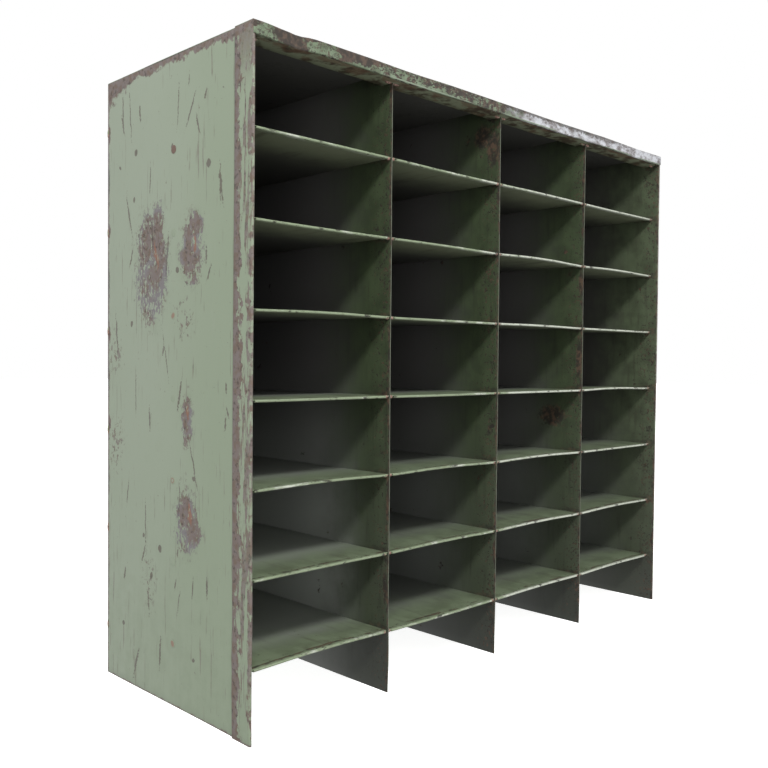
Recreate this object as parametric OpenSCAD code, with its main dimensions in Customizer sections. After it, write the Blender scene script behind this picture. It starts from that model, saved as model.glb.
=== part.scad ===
// Open pigeonhole rack of folded and welded sheet steel: four columns, seven rows, open legs.
// Millimetres, +Z up. The front is at -Y, and the origin is on the floor under the middle.

/* [Overall] */
// Overall width over the two front hems
overall_w = 1123; // [900:1:1400]
// Overall depth from the fascia to the back sheet
overall_d = 414; // [300:1:600]
// Overall height from the floor to the top sheet
overall_h = 1000; // [850:1:1200]

/* [Grid] */
// Height of the lowest shelf's top face above the floor
leg_h = 101.3; // [60:0.1:150]
// Clear height between the top shelf and the lip above it
top_gap = 118.5; // [90:0.5:140]
// Setback of the shelves and dividers behind the fascia
grid_setback = 15; // [5:1:30]

/* [Sheet] */
// Thickness of the side panels
side_t = 1.5; // [1:0.1:3]
// Thickness of the top panel
top_t = 1.2; // [0.8:0.1:2]
// Thickness of the dividers
divider_t = 1.2; // [0.8:0.1:2]
// Thickness of the shelves
shelf_t = 1.2; // [0.8:0.1:1.6]
// Thickness of the back sheet
back_t = 1; // [0.8:0.1:2]

/* [Folds] */
// Height of the front fascia under the top
fascia_h = 20; // [15:0.5:40]
// Depth of the lip that returns under the fascia
lip_d = 40; // [32:1:80]
// Outer radius of the two folds of the top
top_bend_r = 2.4; // [2.1:0.1:4]
// Width of the outward hem on each side panel's front edge
side_hem_w = 43; // [20:1:60]
// Thickness over the outward hem of a side panel
side_hem_t = 4.5; // [4:0.1:8]
// Depth of the hem folded under each shelf's front edge
shelf_hem_d = 12; // [8:0.5:20]
// Thickness over the hem of a shelf
shelf_hem_t = 4; // [3.5:0.1:6]
// Gap in the shelf hem on each side of a divider
hem_gap = 9; // [8.5:0.5:15]
// Gap between a shelf's hem and the side panel
hem_end_gap = 12; // [9:0.5:20]

/* [Welds] */
// Radius of the round weld over each shelf tab
tab_weld_r = 6.5; // [6:0.5:10]
// Height of the round weld above the side panel
tab_weld_h = 0.5; // [0.3:0.1:0.8]
// Drop of the round weld below the tab's own centre
tab_weld_drop = 4; // [0:0.5:5]
// Radius of the short beads under the shelves and the lip
bead_r = 2.6; // [2:0.1:3]
// Length of the short beads under the shelves
bead_len = 8; // [5:0.5:8.5]
// Length of the beads between the lip and the dividers
lip_bead_len = 14; // [8:1:20]
// Length of the beads that hold the back sheet
back_bead_len = 16; // [8:1:30]

/* [Hidden] */
$fn = 48;

columns = 4;
shelves = 7;
slot_play = 0.2;         // play of a sheet in its slot, on each side
cut = 1;                 // overshoot of every cutting solid
tab_l = 10;              // length of a shelf's end tab, front to back
back_beads = 6;          // beads down each rear corner
back_bead_r = 1.4;

front_y = -overall_d / 2;
rear_y = overall_d / 2;
back_y = rear_y - back_t;                      // inner face of the back sheet
panel_front_y = front_y + top_t;               // the sides' front edges sit behind the fascia
grid_front_y = front_y + grid_setback;
lip_rear_y = front_y + lip_d;
outer_x = overall_w / 2;
side_x = outer_x - side_hem_t + side_t;        // outer face of a side panel
inner_x = outer_x - side_hem_t;                // inner face of a side panel
under_top_z = overall_h - top_t;
lip_z = overall_h - fascia_h;
column_pitch = 2 * inner_x / columns;
row_pitch = (lip_z - top_gap - leg_h) / (shelves - 1);

sage = [0.52, 0.60, 0.46];
deep_sage = [0.42, 0.50, 0.36];
bare_steel = [0.50, 0.44, 0.40];

// Top face of a shelf, counted from the top one down
function shelf_z(k) = leg_h + (shelves - k) * row_pitch;

// Middle plane of a divider, counted from the left
function divider_x(i) = -inner_x + i * column_pitch;

// Flat hem seen from its end: two leaves joined by a round nose at the origin's left.
// The long leaf lies along +X with its outer face at y = 0, and the short leaf is at y = -over.
module hem_profile(leaf_t, over, long_leaf, short_leaf) {
    nose_r = over / 2;
    translate([nose_r, -leaf_t])
        square([long_leaf - nose_r, leaf_t]);
    translate([nose_r, -over])
        square([short_leaf - nose_r, leaf_t]);
    translate([nose_r, -nose_r])
        difference() {
            circle(nose_r);
            circle(nose_r - leaf_t);
            translate([0, -over])
                square([over, 2 * over]);
        }
}

// Rectangle with its two front corners rounded
module front_rounded(depth, height, r) {
    translate([r, 0])
        square([depth - r, height]);
    translate([0, r])
        square([depth, height - 2 * r]);
    for (z = [r, height - r])
        translate([r, z])
            circle(r);
}

// Channel section of the top: sheet, fascia and lip, with round folds
module top_profile() {
    difference() {
        front_rounded(overall_d, fascia_h, top_bend_r);
        translate([top_t, top_t])
            front_rounded(overall_d, fascia_h - 2 * top_t, top_bend_r - top_t);
        translate([lip_d, -cut])
            square([overall_d, fascia_h - top_t + cut]);
    }
}

// Side panel with its outer face towards -X
module side_panel() {
    color(sage)
        difference() {
            translate([-inner_x, panel_front_y, 0])
                linear_extrude(height = under_top_z)
                    mirror([1, -1])
                        hem_profile(side_t, side_hem_t, back_y - panel_front_y, side_hem_w);
            for (k = [1 : shelves])
                translate([-side_x - cut, -tab_l / 2 - slot_play, shelf_z(k) - shelf_t - slot_play])
                    cube([side_t + 2 * cut, tab_l + 2 * slot_play, shelf_t + 2 * slot_play]);
        }
}

module left_side_panel() {
    side_panel();
}

module right_side_panel() {
    mirror([1, 0, 0])
        side_panel();
}

module top_panel() {
    color(sage)
        difference() {
            translate([-outer_x, front_y, lip_z])
                rotate([90, 0, 90])
                    linear_extrude(height = overall_w)
                        top_profile();
            for (s = [-1, 1]) {
                // room for the side panels under the sheet and behind the fascia
                translate([s * (inner_x - slot_play + overall_w / 2), panel_front_y + overall_d / 2, lip_z])
                    cube([overall_w, overall_d, 2 * (fascia_h - top_t)], center = true);
                // behind the hems the sheet ends at the side panels' outer faces
                translate([s * (side_x + overall_w / 2), panel_front_y + side_hem_w + overall_d / 2, overall_h])
                    cube([overall_w, overall_d, 4 * top_t], center = true);
            }
        }
}

module back_panel() {
    color(deep_sage)
        translate([-side_x, back_y, 0])
            cube([2 * side_x, back_t, under_top_z]);
}

// Full-height divider: a notch clears the lip, and slots open at the rear take the shelves
module divider(i) {
    color(deep_sage)
        translate([divider_x(i), 0, 0])
            difference() {
                translate([-divider_t / 2, grid_front_y, 0])
                    cube([divider_t, back_y - grid_front_y, under_top_z]);
                translate([-cut, grid_front_y - cut, lip_z])
                    cube([2 * cut, lip_rear_y + slot_play - grid_front_y + cut, fascia_h]);
                for (k = [1 : shelves])
                    translate([-cut, -slot_play, shelf_z(k) - shelf_t - slot_play])
                        cube([2 * cut, overall_d, shelf_t + 2 * slot_play]);
            }
}

module divider_1() {
    divider(1);
}

module divider_2() {
    divider(2);
}

module divider_3() {
    divider(3);
}

// Full-width shelf: slots open at the front take the dividers, and each bay's edge is hemmed
module shelf(k) {
    plate_front_y = grid_front_y + shelf_hem_t / 2;
    color(sage)
        translate([0, 0, shelf_z(k)]) {
            difference() {
                union() {
                    translate([-inner_x, plate_front_y, -shelf_t])
                        cube([2 * inner_x, back_y - plate_front_y, shelf_t]);
                    translate([-side_x, -tab_l / 2, -shelf_t])
                        cube([2 * side_x, tab_l, shelf_t]);
                    for (c = [1 : columns])
                        shelf_hem(c);
                }
                for (i = [1 : columns - 1])
                    translate([divider_x(i) - divider_t / 2 - slot_play, grid_front_y - cut, -shelf_t - cut])
                        cube([divider_t + 2 * slot_play, slot_play + cut - grid_front_y, shelf_t + 2 * cut]);
            }
        }
}

// Front hem of one bay, counted from the left
module shelf_hem(c) {
    start_x = divider_x(c - 1) + (c == 1 ? hem_end_gap : hem_gap);
    end_x = divider_x(c) - (c == columns ? hem_end_gap : hem_gap);
    translate([start_x, grid_front_y, 0])
        rotate([90, 0, 90])
            linear_extrude(height = end_x - start_x)
                hem_profile(shelf_t, shelf_hem_t, 2 * shelf_hem_d, shelf_hem_d);
}

module shelf_1() {
    shelf(1);
}

module shelf_2() {
    shelf(2);
}

module shelf_3() {
    shelf(3);
}

module shelf_4() {
    shelf(4);
}

module shelf_5() {
    shelf(5);
}

module shelf_6() {
    shelf(6);
}

module shelf_7() {
    shelf(7);
}

// Flattened round weld over the end of every shelf tab, on the left side panel
module tab_welds() {
    color(bare_steel)
        for (k = [1 : shelves])
            translate([-side_x, 0, shelf_z(k) - shelf_t / 2 - tab_weld_drop])
                rotate([0, -90, 0])
                    cylinder(r = tab_weld_r, h = tab_weld_h);
}

module left_tab_welds() {
    tab_welds();
}

module right_tab_welds() {
    mirror([1, 0, 0])
        tab_welds();
}

// Half-round bead that hangs under a flat face, from the origin along +X
module under_bead(length) {
    rotate([0, 90, 0])
        intersection() {
            cylinder(r = bead_r, h = length);
            translate([0, -bead_r - cut, -cut])
                cube([bead_r + cut, 2 * bead_r + 2 * cut, length + 2 * cut]);
        }
}

// Beads between the shelves' front corners and the left side panel
module end_tacks() {
    color(bare_steel)
        for (k = [1 : shelves])
            translate([-inner_x, grid_front_y + shelf_hem_t / 2 + bead_r, shelf_z(k) - shelf_t])
                under_bead(bead_len);
}

module left_end_tacks() {
    end_tacks();
}

module right_end_tacks() {
    mirror([1, 0, 0])
        end_tacks();
}

// Beads in the hem gaps where one divider crosses every shelf
module divider_tacks(i) {
    color(bare_steel)
        for (k = [1 : shelves], s = [0, 1])
            translate([divider_x(i), grid_front_y + shelf_hem_t / 2 + bead_r, shelf_z(k) - shelf_t])
                mirror([s, 0, 0])
                    translate([divider_t / 2, 0, 0])
                        under_bead(bead_len);
}

module divider_1_tacks() {
    divider_tacks(1);
}

module divider_2_tacks() {
    divider_tacks(2);
}

module divider_3_tacks() {
    divider_tacks(3);
}

// Beads under the lip, beside each divider and at the side panels
module lip_tacks() {
    color(bare_steel)
        translate([0, grid_front_y + bead_r, lip_z]) {
            for (i = [1 : columns - 1], s = [0, 1])
                translate([divider_x(i), 0, 0])
                    mirror([s, 0, 0])
                        translate([divider_t / 2, 0, 0])
                            under_bead(lip_bead_len);
            for (s = [0, 1])
                mirror([s, 0, 0])
                    translate([-inner_x, 0, 0])
                        under_bead(bead_len);
        }
}

// Beads along the two rear corners, over the back sheet's edges
module back_tacks() {
    bead_pitch = under_top_z / back_beads;
    color(bare_steel)
        for (s = [0, 1], n = [0 : back_beads - 1])
            mirror([s, 0, 0])
                translate([side_x, rear_y - back_bead_r, (n + 0.5) * bead_pitch - back_bead_len / 2])
                    intersection() {
                        cylinder(r = back_bead_r, h = back_bead_len);
                        translate([0, -back_bead_r - cut, -cut])
                            cube([back_bead_r + cut, 2 * (back_bead_r + cut), back_bead_len + 2 * cut]);
                    }
}

left_side_panel();
right_side_panel();
top_panel();
back_panel();
divider_1();
divider_2();
divider_3();
shelf_1();
shelf_2();
shelf_3();
shelf_4();
shelf_5();
shelf_6();
shelf_7();
left_tab_welds();
right_tab_welds();
left_end_tacks();
right_end_tacks();
divider_1_tacks();
divider_2_tacks();
divider_3_tacks();
lip_tacks();
back_tacks();
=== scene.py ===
import math
import random

import bmesh
import bpy
from mathutils import Matrix, Vector


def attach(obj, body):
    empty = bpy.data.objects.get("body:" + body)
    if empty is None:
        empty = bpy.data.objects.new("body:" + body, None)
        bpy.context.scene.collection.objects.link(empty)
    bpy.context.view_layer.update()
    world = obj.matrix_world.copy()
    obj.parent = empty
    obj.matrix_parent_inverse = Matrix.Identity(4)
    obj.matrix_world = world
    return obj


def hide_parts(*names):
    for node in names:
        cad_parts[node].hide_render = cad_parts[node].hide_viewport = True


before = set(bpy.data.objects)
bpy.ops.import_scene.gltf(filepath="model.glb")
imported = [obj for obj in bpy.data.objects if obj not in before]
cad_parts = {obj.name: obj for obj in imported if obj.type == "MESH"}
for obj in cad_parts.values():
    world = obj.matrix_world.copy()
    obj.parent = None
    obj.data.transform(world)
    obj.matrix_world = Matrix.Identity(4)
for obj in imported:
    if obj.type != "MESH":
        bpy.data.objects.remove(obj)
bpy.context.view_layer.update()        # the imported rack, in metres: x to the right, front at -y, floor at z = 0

mm = 0.001
rowPitch = 126.7         # from one shelf to the next, mm
lowestTop = 101.3
allTops = [lowestTop + rowPitch * n for n in reversed(range(7))]   # top face of each shelf
sheetTop = 998.8         # top of the upright sheets
tackPitch = sheetTop / 6    # between the welds down each rear edge
bayPitch = 278.5
dividerPlaces = [-bayPitch, 0.0, bayPitch]
print("frame loaded:", len(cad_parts), "nodes")


cameraSetup = {
    "place": (-1.28925, -1.19639, 0.53789),
    "yaw": 0.78149,       # from +y towards +x
    "pitch": -0.02664,
    "roll": 0.00867,
    "lens": 41.64,
    "sensor": 36.0,
}


def addCamera(setup):
    yaw, pitch, roll = setup["yaw"], setup["pitch"], setup["roll"]
    forward = Vector((math.sin(yaw) * math.cos(pitch), math.cos(yaw) * math.cos(pitch), math.sin(pitch)))
    level = Vector((math.cos(yaw), -math.sin(yaw), 0))
    upright = level.cross(forward)
    right = level * math.cos(roll) + upright * math.sin(roll)
    up = upright * math.cos(roll) - level * math.sin(roll)
    bpy.ops.object.camera_add(location=setup["place"])
    camera = bpy.context.object
    camera.name = "viewCamera"
    camera.data.lens = setup["lens"]
    camera.data.sensor_width = setup["sensor"]
    camera.data.clip_start = 0.05
    camera.data.clip_end = 60
    axes = Matrix((right, up, -forward)).transposed()
    camera.rotation_euler = axes.to_euler()
    bpy.context.scene.camera = camera


def leaveAll():
    if bpy.context.object and bpy.context.object.mode != "OBJECT":
        bpy.ops.object.mode_set(mode="OBJECT")
    bpy.ops.object.select_all(action="DESELECT")


def startPlate(name, low, high, cuts):
    # one layer of sheet that fills a flat box, open for editing
    leaveAll()
    size = [b - a for a, b in zip(low, high)]
    middle = [(a + b) / 2 * mm for a, b in zip(low, high)]
    turn = [math.pi / 2 if size[1] == 0 else 0, math.pi / 2 if size[0] == 0 else 0, 0]
    bpy.ops.mesh.primitive_plane_add(size=1, location=middle, rotation=turn)
    piece = bpy.context.object
    piece.name = piece.data.name = name
    bpy.ops.object.transform_apply(location=True, rotation=True, scale=True)
    bpy.ops.object.mode_set(mode="EDIT")
    bpy.ops.mesh.select_all(action="SELECT")
    bpy.ops.transform.resize(value=[s * mm or 1 for s in size], center_override=middle)
    bpy.ops.mesh.subdivide(number_cuts=cuts)
    return piece


def pick(kind, test):
    # selects what has its middle, in millimetres, where the test says
    bpy.ops.mesh.select_mode(type=kind)
    bpy.ops.mesh.select_all(action="DESELECT")
    mesh = bmesh.from_edit_mesh(bpy.context.edit_object.data)
    for part in {"VERT": mesh.verts, "EDGE": mesh.edges, "FACE": mesh.faces}[kind]:
        corners = [part.co] if kind == "VERT" else [v.co for v in part.verts]
        middle = sum(corners, Vector()) / len(corners) / mm
        if test(middle):
            part.select_set(True)
    mesh.select_flush_mode()
    bmesh.update_edit_mesh(bpy.context.edit_object.data)


def cutAcross(axis, *places):
    normal = Vector()
    normal[axis] = 1
    for place in places:
        bpy.ops.mesh.select_all(action="SELECT")
        bpy.ops.mesh.bisect(plane_co=normal * place * mm, plane_no=normal)


def removeFaces(test):
    pick("FACE", test)
    bpy.ops.mesh.delete(type="FACE")


def fold(test, centre, axis, degrees, steps=6):
    pick("EDGE", test)
    bpy.ops.mesh.spin(steps=steps, angle=math.radians(degrees), center=[c * mm for c in centre], axis=axis)


def pull(x=0, y=0, z=0, steps=1):
    for step in range(steps):
        move = [x * mm / steps, y * mm / steps, z * mm / steps]
        bpy.ops.mesh.extrude_region_move(TRANSFORM_OT_translate={"value": move})


def dent(spot, move, reach, grip=14):
    # pushes the sheet at one spot, and what is within reach follows smoothly
    spot = Vector(spot)
    pick("VERT", lambda p: (p - spot).length < grip)
    bpy.ops.transform.translate(
        value=[m * mm for m in move],
        use_proportional_edit=True,
        proportional_edit_falloff="SMOOTH",
        proportional_size=reach * mm,
        use_proportional_connected=False,
    )


def tidyMesh():
    bpy.ops.mesh.select_mode(type="VERT")
    bpy.ops.mesh.select_all(action="SELECT")
    bpy.ops.mesh.remove_doubles(threshold=0.00005)
    bpy.ops.mesh.normals_make_consistent(inside=False)


def applyAll(piece):
    for name in [m.name for m in piece.modifiers]:
        bpy.ops.object.modifier_apply(modifier=name)


def finishSheet(piece, thickness, buckle=0.0, along="X", rim=0.25):
    # slow buckles over the whole sheet, then its thickness and softened rims
    tidyMesh()
    bpy.ops.object.mode_set(mode="OBJECT")
    if buckle:
        waves = bpy.data.textures.new(piece.name + "Waves", "CLOUDS")
        waves.noise_scale = 0.22
        waves.noise_depth = 1
        wave = piece.modifiers.new("buckle", "DISPLACE")
        wave.texture = waves
        wave.texture_coords = "LOCAL"
        wave.direction = along
        wave.mid_level = 0.5
        wave.strength = buckle * mm
    gauge = piece.modifiers.new("gauge", "SOLIDIFY")
    gauge.thickness = thickness * mm
    gauge.offset = 0
    gauge.use_even_offset = True
    edge = piece.modifiers.new("edge", "BEVEL")
    edge.width = rim * mm
    edge.segments = 2
    edge.limit_method = "ANGLE"
    edge.angle_limit = math.radians(60)
    applyAll(piece)
    bpy.ops.object.shade_smooth_by_angle(angle=math.radians(40))


def duplicatePiece(master, name):
    leaveAll()
    master.select_set(True)
    bpy.context.view_layer.objects.active = master
    bpy.ops.object.duplicate()
    piece = bpy.context.object
    piece.name = piece.data.name = name
    return piece


def editPiece(piece):
    leaveAll()
    piece.select_set(True)
    bpy.context.view_layer.objects.active = piece
    bpy.ops.object.mode_set(mode="EDIT")
    bpy.ops.mesh.select_all(action="SELECT")


def tone(red, green, blue):
    # a paint-chart colour, 0 to 255, as the renderer's own colour
    return tuple((c / 255) ** 2.2 for c in (red, green, blue)) + (1,)


class Amount:
    # wraps a shader socket, so that a sum written in Python adds its Math nodes
    def __init__(self, finish, socket):
        self.finish = finish
        self.socket = socket

    def math(self, operation, first, second=None):
        values = {0: first} if second is None else {0: first, 1: second}
        node = self.finish.node("ShaderNodeMath", {"operation": operation}, values)
        return Amount(self.finish, node.outputs[0])

    def __add__(self, other):
        return self.math("ADD", self, other)

    def __sub__(self, other):
        return self.math("SUBTRACT", self, other)

    def __mul__(self, other):
        return self.math("MULTIPLY", self, other)

    def __rsub__(self, other):
        return self.math("SUBTRACT", other, self)

    def __neg__(self):
        return self.math("MULTIPLY", self, -1)

    __radd__ = __add__
    __rmul__ = __mul__

    def least(self, other):
        return self.math("MINIMUM", self, other)

    def most(self, other):
        return self.math("MAXIMUM", self, other)

    def size(self):
        return self.math("ABSOLUTE", self)

    def wrap(self, pitch):
        # distance to the nearest whole number of pitches
        return self.math("PINGPONG", self, pitch / 2)

    def rise(self, low, high):
        # 0 at low and 1 at high, smoothly; falls instead where high is the smaller
        values = {"Value": self, "From Min": low, "From Max": high}
        node = self.finish.node("ShaderNodeMapRange", {"interpolation_type": "SMOOTHSTEP"}, values)
        return Amount(self.finish, node.outputs[0])


class NodeBench:
    # adds nodes to one node tree
    def __init__(self, tree):
        self.tree = tree

    def feed(self, node, inputs):
        for key, value in inputs.items():
            value = value.socket if isinstance(value, Amount) else value
            if isinstance(value, bpy.types.NodeSocket):
                self.tree.links.new(value, node.inputs[key])
            else:
                node.inputs[key].default_value = value

    def node(self, kind, settings={}, inputs={}):
        node = self.tree.nodes.new(kind)
        for key, value in settings.items():
            setattr(node, key, value)
        self.feed(node, inputs)
        return node

    def between(self, share, under, over):
        # a number that goes from under to over as share goes from 0 to 1
        return share * (over - under) + under

    def axes(self, vector):
        split = self.node("ShaderNodeSeparateXYZ", {}, {0: vector})
        return [Amount(self, s) for s in split.outputs]


class Finish(NodeBench):
    # one material, on the piece's own object coordinates
    def __init__(self, name):
        self.material = bpy.data.materials.new(name)
        self.material.use_nodes = True
        NodeBench.__init__(self, self.material.node_tree)
        self.shader = self.tree.nodes["Principled BSDF"]
        self.place = self.node("ShaderNodeTexCoord").outputs["Object"]
        self.x, self.y, self.z = [a * 1000 for a in self.axes(self.place)]

    def noise(self, size, detail=3, rough=0.55, stretch=(1, 1, 1), seed=0, place=None):
        # cloudy noise whose grains are about the given millimetres across
        place = place or self.place
        if stretch != (1, 1, 1) or seed:
            shift = (seed * 3.1, seed * 1.7, seed * 2.3)
            scale = [1 / s for s in stretch]
            values = {"Vector": place, "Location": shift, "Scale": scale}
            place = self.node("ShaderNodeMapping", {}, values).outputs[0]
        values = {"Vector": place, "Scale": 1000 / size, "Detail": detail, "Roughness": rough}
        return Amount(self, self.node("ShaderNodeTexNoise", {}, values).outputs[0])

    def vectorMath(self, operation, values):
        return self.node("ShaderNodeVectorMath", {"operation": operation}, values).outputs[0]

    def warped(self, size, reach, detail=3):
        # the object coordinates, shaken by up to about reach millimetres
        values = {"Vector": self.place, "Scale": 1000 / size, "Detail": detail}
        shake = self.node("ShaderNodeTexNoise", {}, values).outputs["Color"]
        centred = self.vectorMath("SUBTRACT", {0: shake, 1: (0.5, 0.5, 0.5)})
        scaled = self.vectorMath("SCALE", {0: centred, "Scale": reach * 4 * mm})
        return self.vectorMath("ADD", {0: self.place, 1: scaled})

    def marks(self, plane, spots, place=None):
        # least of the distances to the marks, as a share of each one's half size: under 1 is inside
        first, second = {"yz": (1, 2), "xz": (0, 2), "xy": (0, 1)}[plane]
        across = 3 - first - second
        place = place or self.place
        nearest = None
        for number, (along, up, halfLong, halfWide, tilt) in enumerate(spots):
            if number and number % 8 == 0:
                # a nudge far too small to see makes the renderer finish one batch before the next
                place = self.vectorMath("MULTIPLY_ADD", {0: nearest, 1: (1e-9, 1e-9, 1e-9), 2: place})
            location, rotation, scale = [0, 0, 0], [0, 0, 0], [1, 1, 1]
            location[first], location[second] = along * mm, up * mm
            rotation[across] = math.radians(-tilt if plane == "xz" else tilt)
            scale[first], scale[second], scale[across] = halfWide * mm, halfLong * mm, 1e6
            values = {"Vector": place, "Location": location, "Rotation": rotation, "Scale": scale}
            local = self.node("ShaderNodeMapping", {"vector_type": "TEXTURE"}, values)
            reach = self.node("ShaderNodeVectorMath", {"operation": "LENGTH"}, {0: local.outputs[0]})
            distance = Amount(self, reach.outputs["Value"])
            nearest = distance if nearest is None else nearest.least(distance)
        return nearest

    def facingUp(self):
        return self.axes(self.node("ShaderNodeNewGeometry").outputs["Normal"])[2]

    def mix(self, share, under, over):
        node = self.node("ShaderNodeMix", {"data_type": "RGBA"}, {0: share, 6: under, 7: over})
        return node.outputs[2]

    def shade(self, colour, roughness, height=None, depth=0.3, metal=None):
        values = {"Base Color": colour, "Roughness": roughness}
        if metal is not None:
            values["Metallic"] = metal
        if height is not None:
            relief = {"Height": height, "Strength": 1.0, "Distance": depth * mm}
            values["Normal"] = self.node("ShaderNodeBump", {}, relief).outputs[0]
        self.feed(self.shader, values)
        return self.material


studio = {
    "floorSize": 40.0,
    "floorGlow": 0.86,
    # how bright the room is, seen from the rack, by direction
    "room": {
        "base": 0.46, "left": 0.36, "top": 0.3, "back": 0.35, "right": 0.25, "below": 1.0, "front": 1.9,
    },
    "frontGlow": (-0.5, -0.86, -0.05),
    "lamps": [
        # name, place, aimed at, size, power
        ("keySoftbox", (-1.6, -2.1, 2.5), (0.0, -0.2, 0.5), 0.5, 74),
        ("edgeSoftbox", (1.9, -2.3, 0.9), (0.2, -0.2, 0.5), 1.2, 14),
    ],
}


def addStudio(setup):
    world = bpy.data.worlds.new("paleStudio")
    bpy.context.scene.world = world
    world.use_nodes = True
    bench = NodeBench(world.node_tree)
    room = setup["room"]
    toward = bench.axes(bench.node("ShaderNodeTexCoord").outputs["Generated"])
    light = (-toward[0]).rise(0, 1) * room["left"] + toward[0].rise(0, 1) * room["right"] + room["base"]
    light = light + toward[1].rise(0, 1) * room["back"] + toward[2].rise(0, 1) * room["top"]
    light = light * bench.between(toward[2].rise(-0.2, 0.05), room["below"], 1)
    glow = setup["frontGlow"]        # a soft glow that reaches deep into the cells
    ahead = toward[0] * glow[0] + toward[1] * glow[1] + toward[2] * glow[2]
    light = light + ahead.rise(0.86, 1) * room["front"]
    roomSky = world.node_tree.nodes["Background"]
    bench.feed(roomSky, {"Color": (1, 1, 1, 1), "Strength": light})
    backdrop = bench.node("ShaderNodeBackground", {}, {"Color": (1, 1, 1, 1), "Strength": 1.0})
    seen = bench.node("ShaderNodeLightPath").outputs["Is Camera Ray"]
    both = bench.node("ShaderNodeMixShader", {}, {0: seen, 1: roomSky.outputs[0], 2: backdrop.outputs[0]})
    bench.feed(world.node_tree.nodes["World Output"], {"Surface": both.outputs[0]})
    for name, place, aim, size, power in setup["lamps"]:
        bpy.ops.object.light_add(type="AREA", location=place)
        lamp = bpy.context.object
        lamp.name = name
        lamp.data.size = size
        lamp.data.energy = power
        lamp.rotation_euler = (Vector(aim) - Vector(place)).to_track_quat("-Z", "Y").to_euler()
    bpy.context.scene.view_settings.view_transform = "Standard"


sideShape = {
    "innerX": 557.0, "gauge": 1.5, "hemThick": 4.5, "hemWide": 43.0,
    "frontY": -205.8, "rearY": 205.8, "top": sheetTop,
    "buckle": 0.9,
    # spot, push and reach, mm, on the left panel
    "dents": [
        ((-559, -205, 620), (-1.3, -0.4, 0), 190),
        ((-559, -205, 460), (-1.3, -0.4, 0), 190),
        ((-559, -205, 300), (-1.0, -0.2, 0), 180),
        ((-559, -205, 60), (-0.9, 0.3, 0), 120),
        ((-558, 90, 690), (0.9, 0, 0), 70),
        ((-558, 90, 930), (-0.8, 0, 0), 80),
    ],
}


def buildSideSheet(shape):
    middle = -shape["innerX"] - shape["gauge"] / 2
    turnRadius = (shape["hemThick"] - shape["gauge"]) / 2
    bendY = shape["frontY"] + shape["hemThick"] / 2
    startPlate("sideSheet", (middle, bendY, 0), (middle, shape["rearY"], shape["top"]), 70)
    fold(lambda p: abs(p.y - bendY) < 0.5, (middle - turnRadius, bendY, 0), (0, 0, 1), 180, 8)
    pull(y=shape["hemWide"] - shape["hemThick"] / 2, steps=5)
    tidyMesh()
    bpy.ops.object.mode_set(mode="OBJECT")
    return bpy.context.object


def addSides(shape):
    sheet = buildSideSheet(shape)
    left = duplicatePiece(sheet, "leftSide")
    right = duplicatePiece(sheet, "rightSide")
    bpy.data.objects.remove(sheet)
    editPiece(left)
    for spot, push, reach in shape["dents"]:
        dent(spot, push, reach)
    for n in range(1, 6):
        # the rear edge is knocked in between its welds, more so higher up
        dent((-shape["innerX"], 205, n * tackPitch), (0.5, -0.5 * n, 0), 34)
    finishSheet(left, shape["gauge"], shape["buckle"])
    editPiece(right)
    bpy.ops.transform.resize(value=(-1, 1, 1), center_override=(0, 0, 0))
    dent((559, -205, 600), (0.8, 0, 0), 300)
    finishSheet(right, shape["gauge"], shape["buckle"] * 0.7)
    return left, right


topShape = {
    "gauge": 1.2, "bend": 2.4, "top": 1000.0, "lipZ": 980.0, "frontY": -207.0, "rearY": 207.0,
    "lipDeep": 40.0, "overHems": 561.5, "overSides": 558.5, "lipHalf": 556.8, "hemEndY": -162.8,
    "dents": [
        ((-490, -206, 999), (0, 0.4, -1.9), 44),
        ((-480, -206, 990), (0, 1.5, -0.4), 15),
        ((-250, -206, 999), (0, 0.3, -1.0), 90),
        ((150, -206, 999), (0, -0.3, -0.7), 120),
        ((470, -206, 990), (0, 0.5, -0.6), 70),
        ((-200, 20, 999), (0, 0, -1.8), 220),
        ((260, 40, 999), (0, 0, -2.2), 240),
        ((-60, -206, 981), (0, 0.8, 0.5), 50),
        ((330, -206, 981), (0, -0.5, 0.6), 60),
    ],
}


def addTop(shape):
    half = shape["gauge"] / 2
    bendY = shape["frontY"] + shape["bend"]
    turnRadius = shape["bend"] - half
    sheetZ = shape["top"] - half
    wide = shape["overHems"]
    piece = startPlate("topSheet", (-wide, bendY, sheetZ), (wide, shape["rearY"], sheetZ), 90)
    for s in (-1, 1):
        cutAcross(0, s * shape["lipHalf"], s * shape["overSides"])
    cutAcross(1, shape["hemEndY"])
    removeFaces(lambda p: abs(p.x) > shape["overSides"] and p.y > shape["hemEndY"])
    upper = shape["top"] - shape["bend"]
    lower = shape["lipZ"] + shape["bend"]
    fold(lambda p: abs(p.y - bendY) < 0.5, (0, bendY, upper), (-1, 0, 0), 90, 4)
    pull(z=lower - upper, steps=4)
    bpy.ops.mesh.spin(steps=4, angle=math.radians(90), center=(0, bendY * mm, lower * mm), axis=(-1, 0, 0))
    pull(y=shape["lipDeep"] - shape["bend"], steps=3)
    removeFaces(lambda p: abs(p.x) > shape["lipHalf"] and p.z < lower - 0.2 and p.y > shape["frontY"] + 1.3)
    tidyMesh()
    for spot, push, reach in shape["dents"]:
        dent(spot, push, reach)
    finishSheet(piece, shape["gauge"], 1.2, "Z")
    return piece


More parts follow.
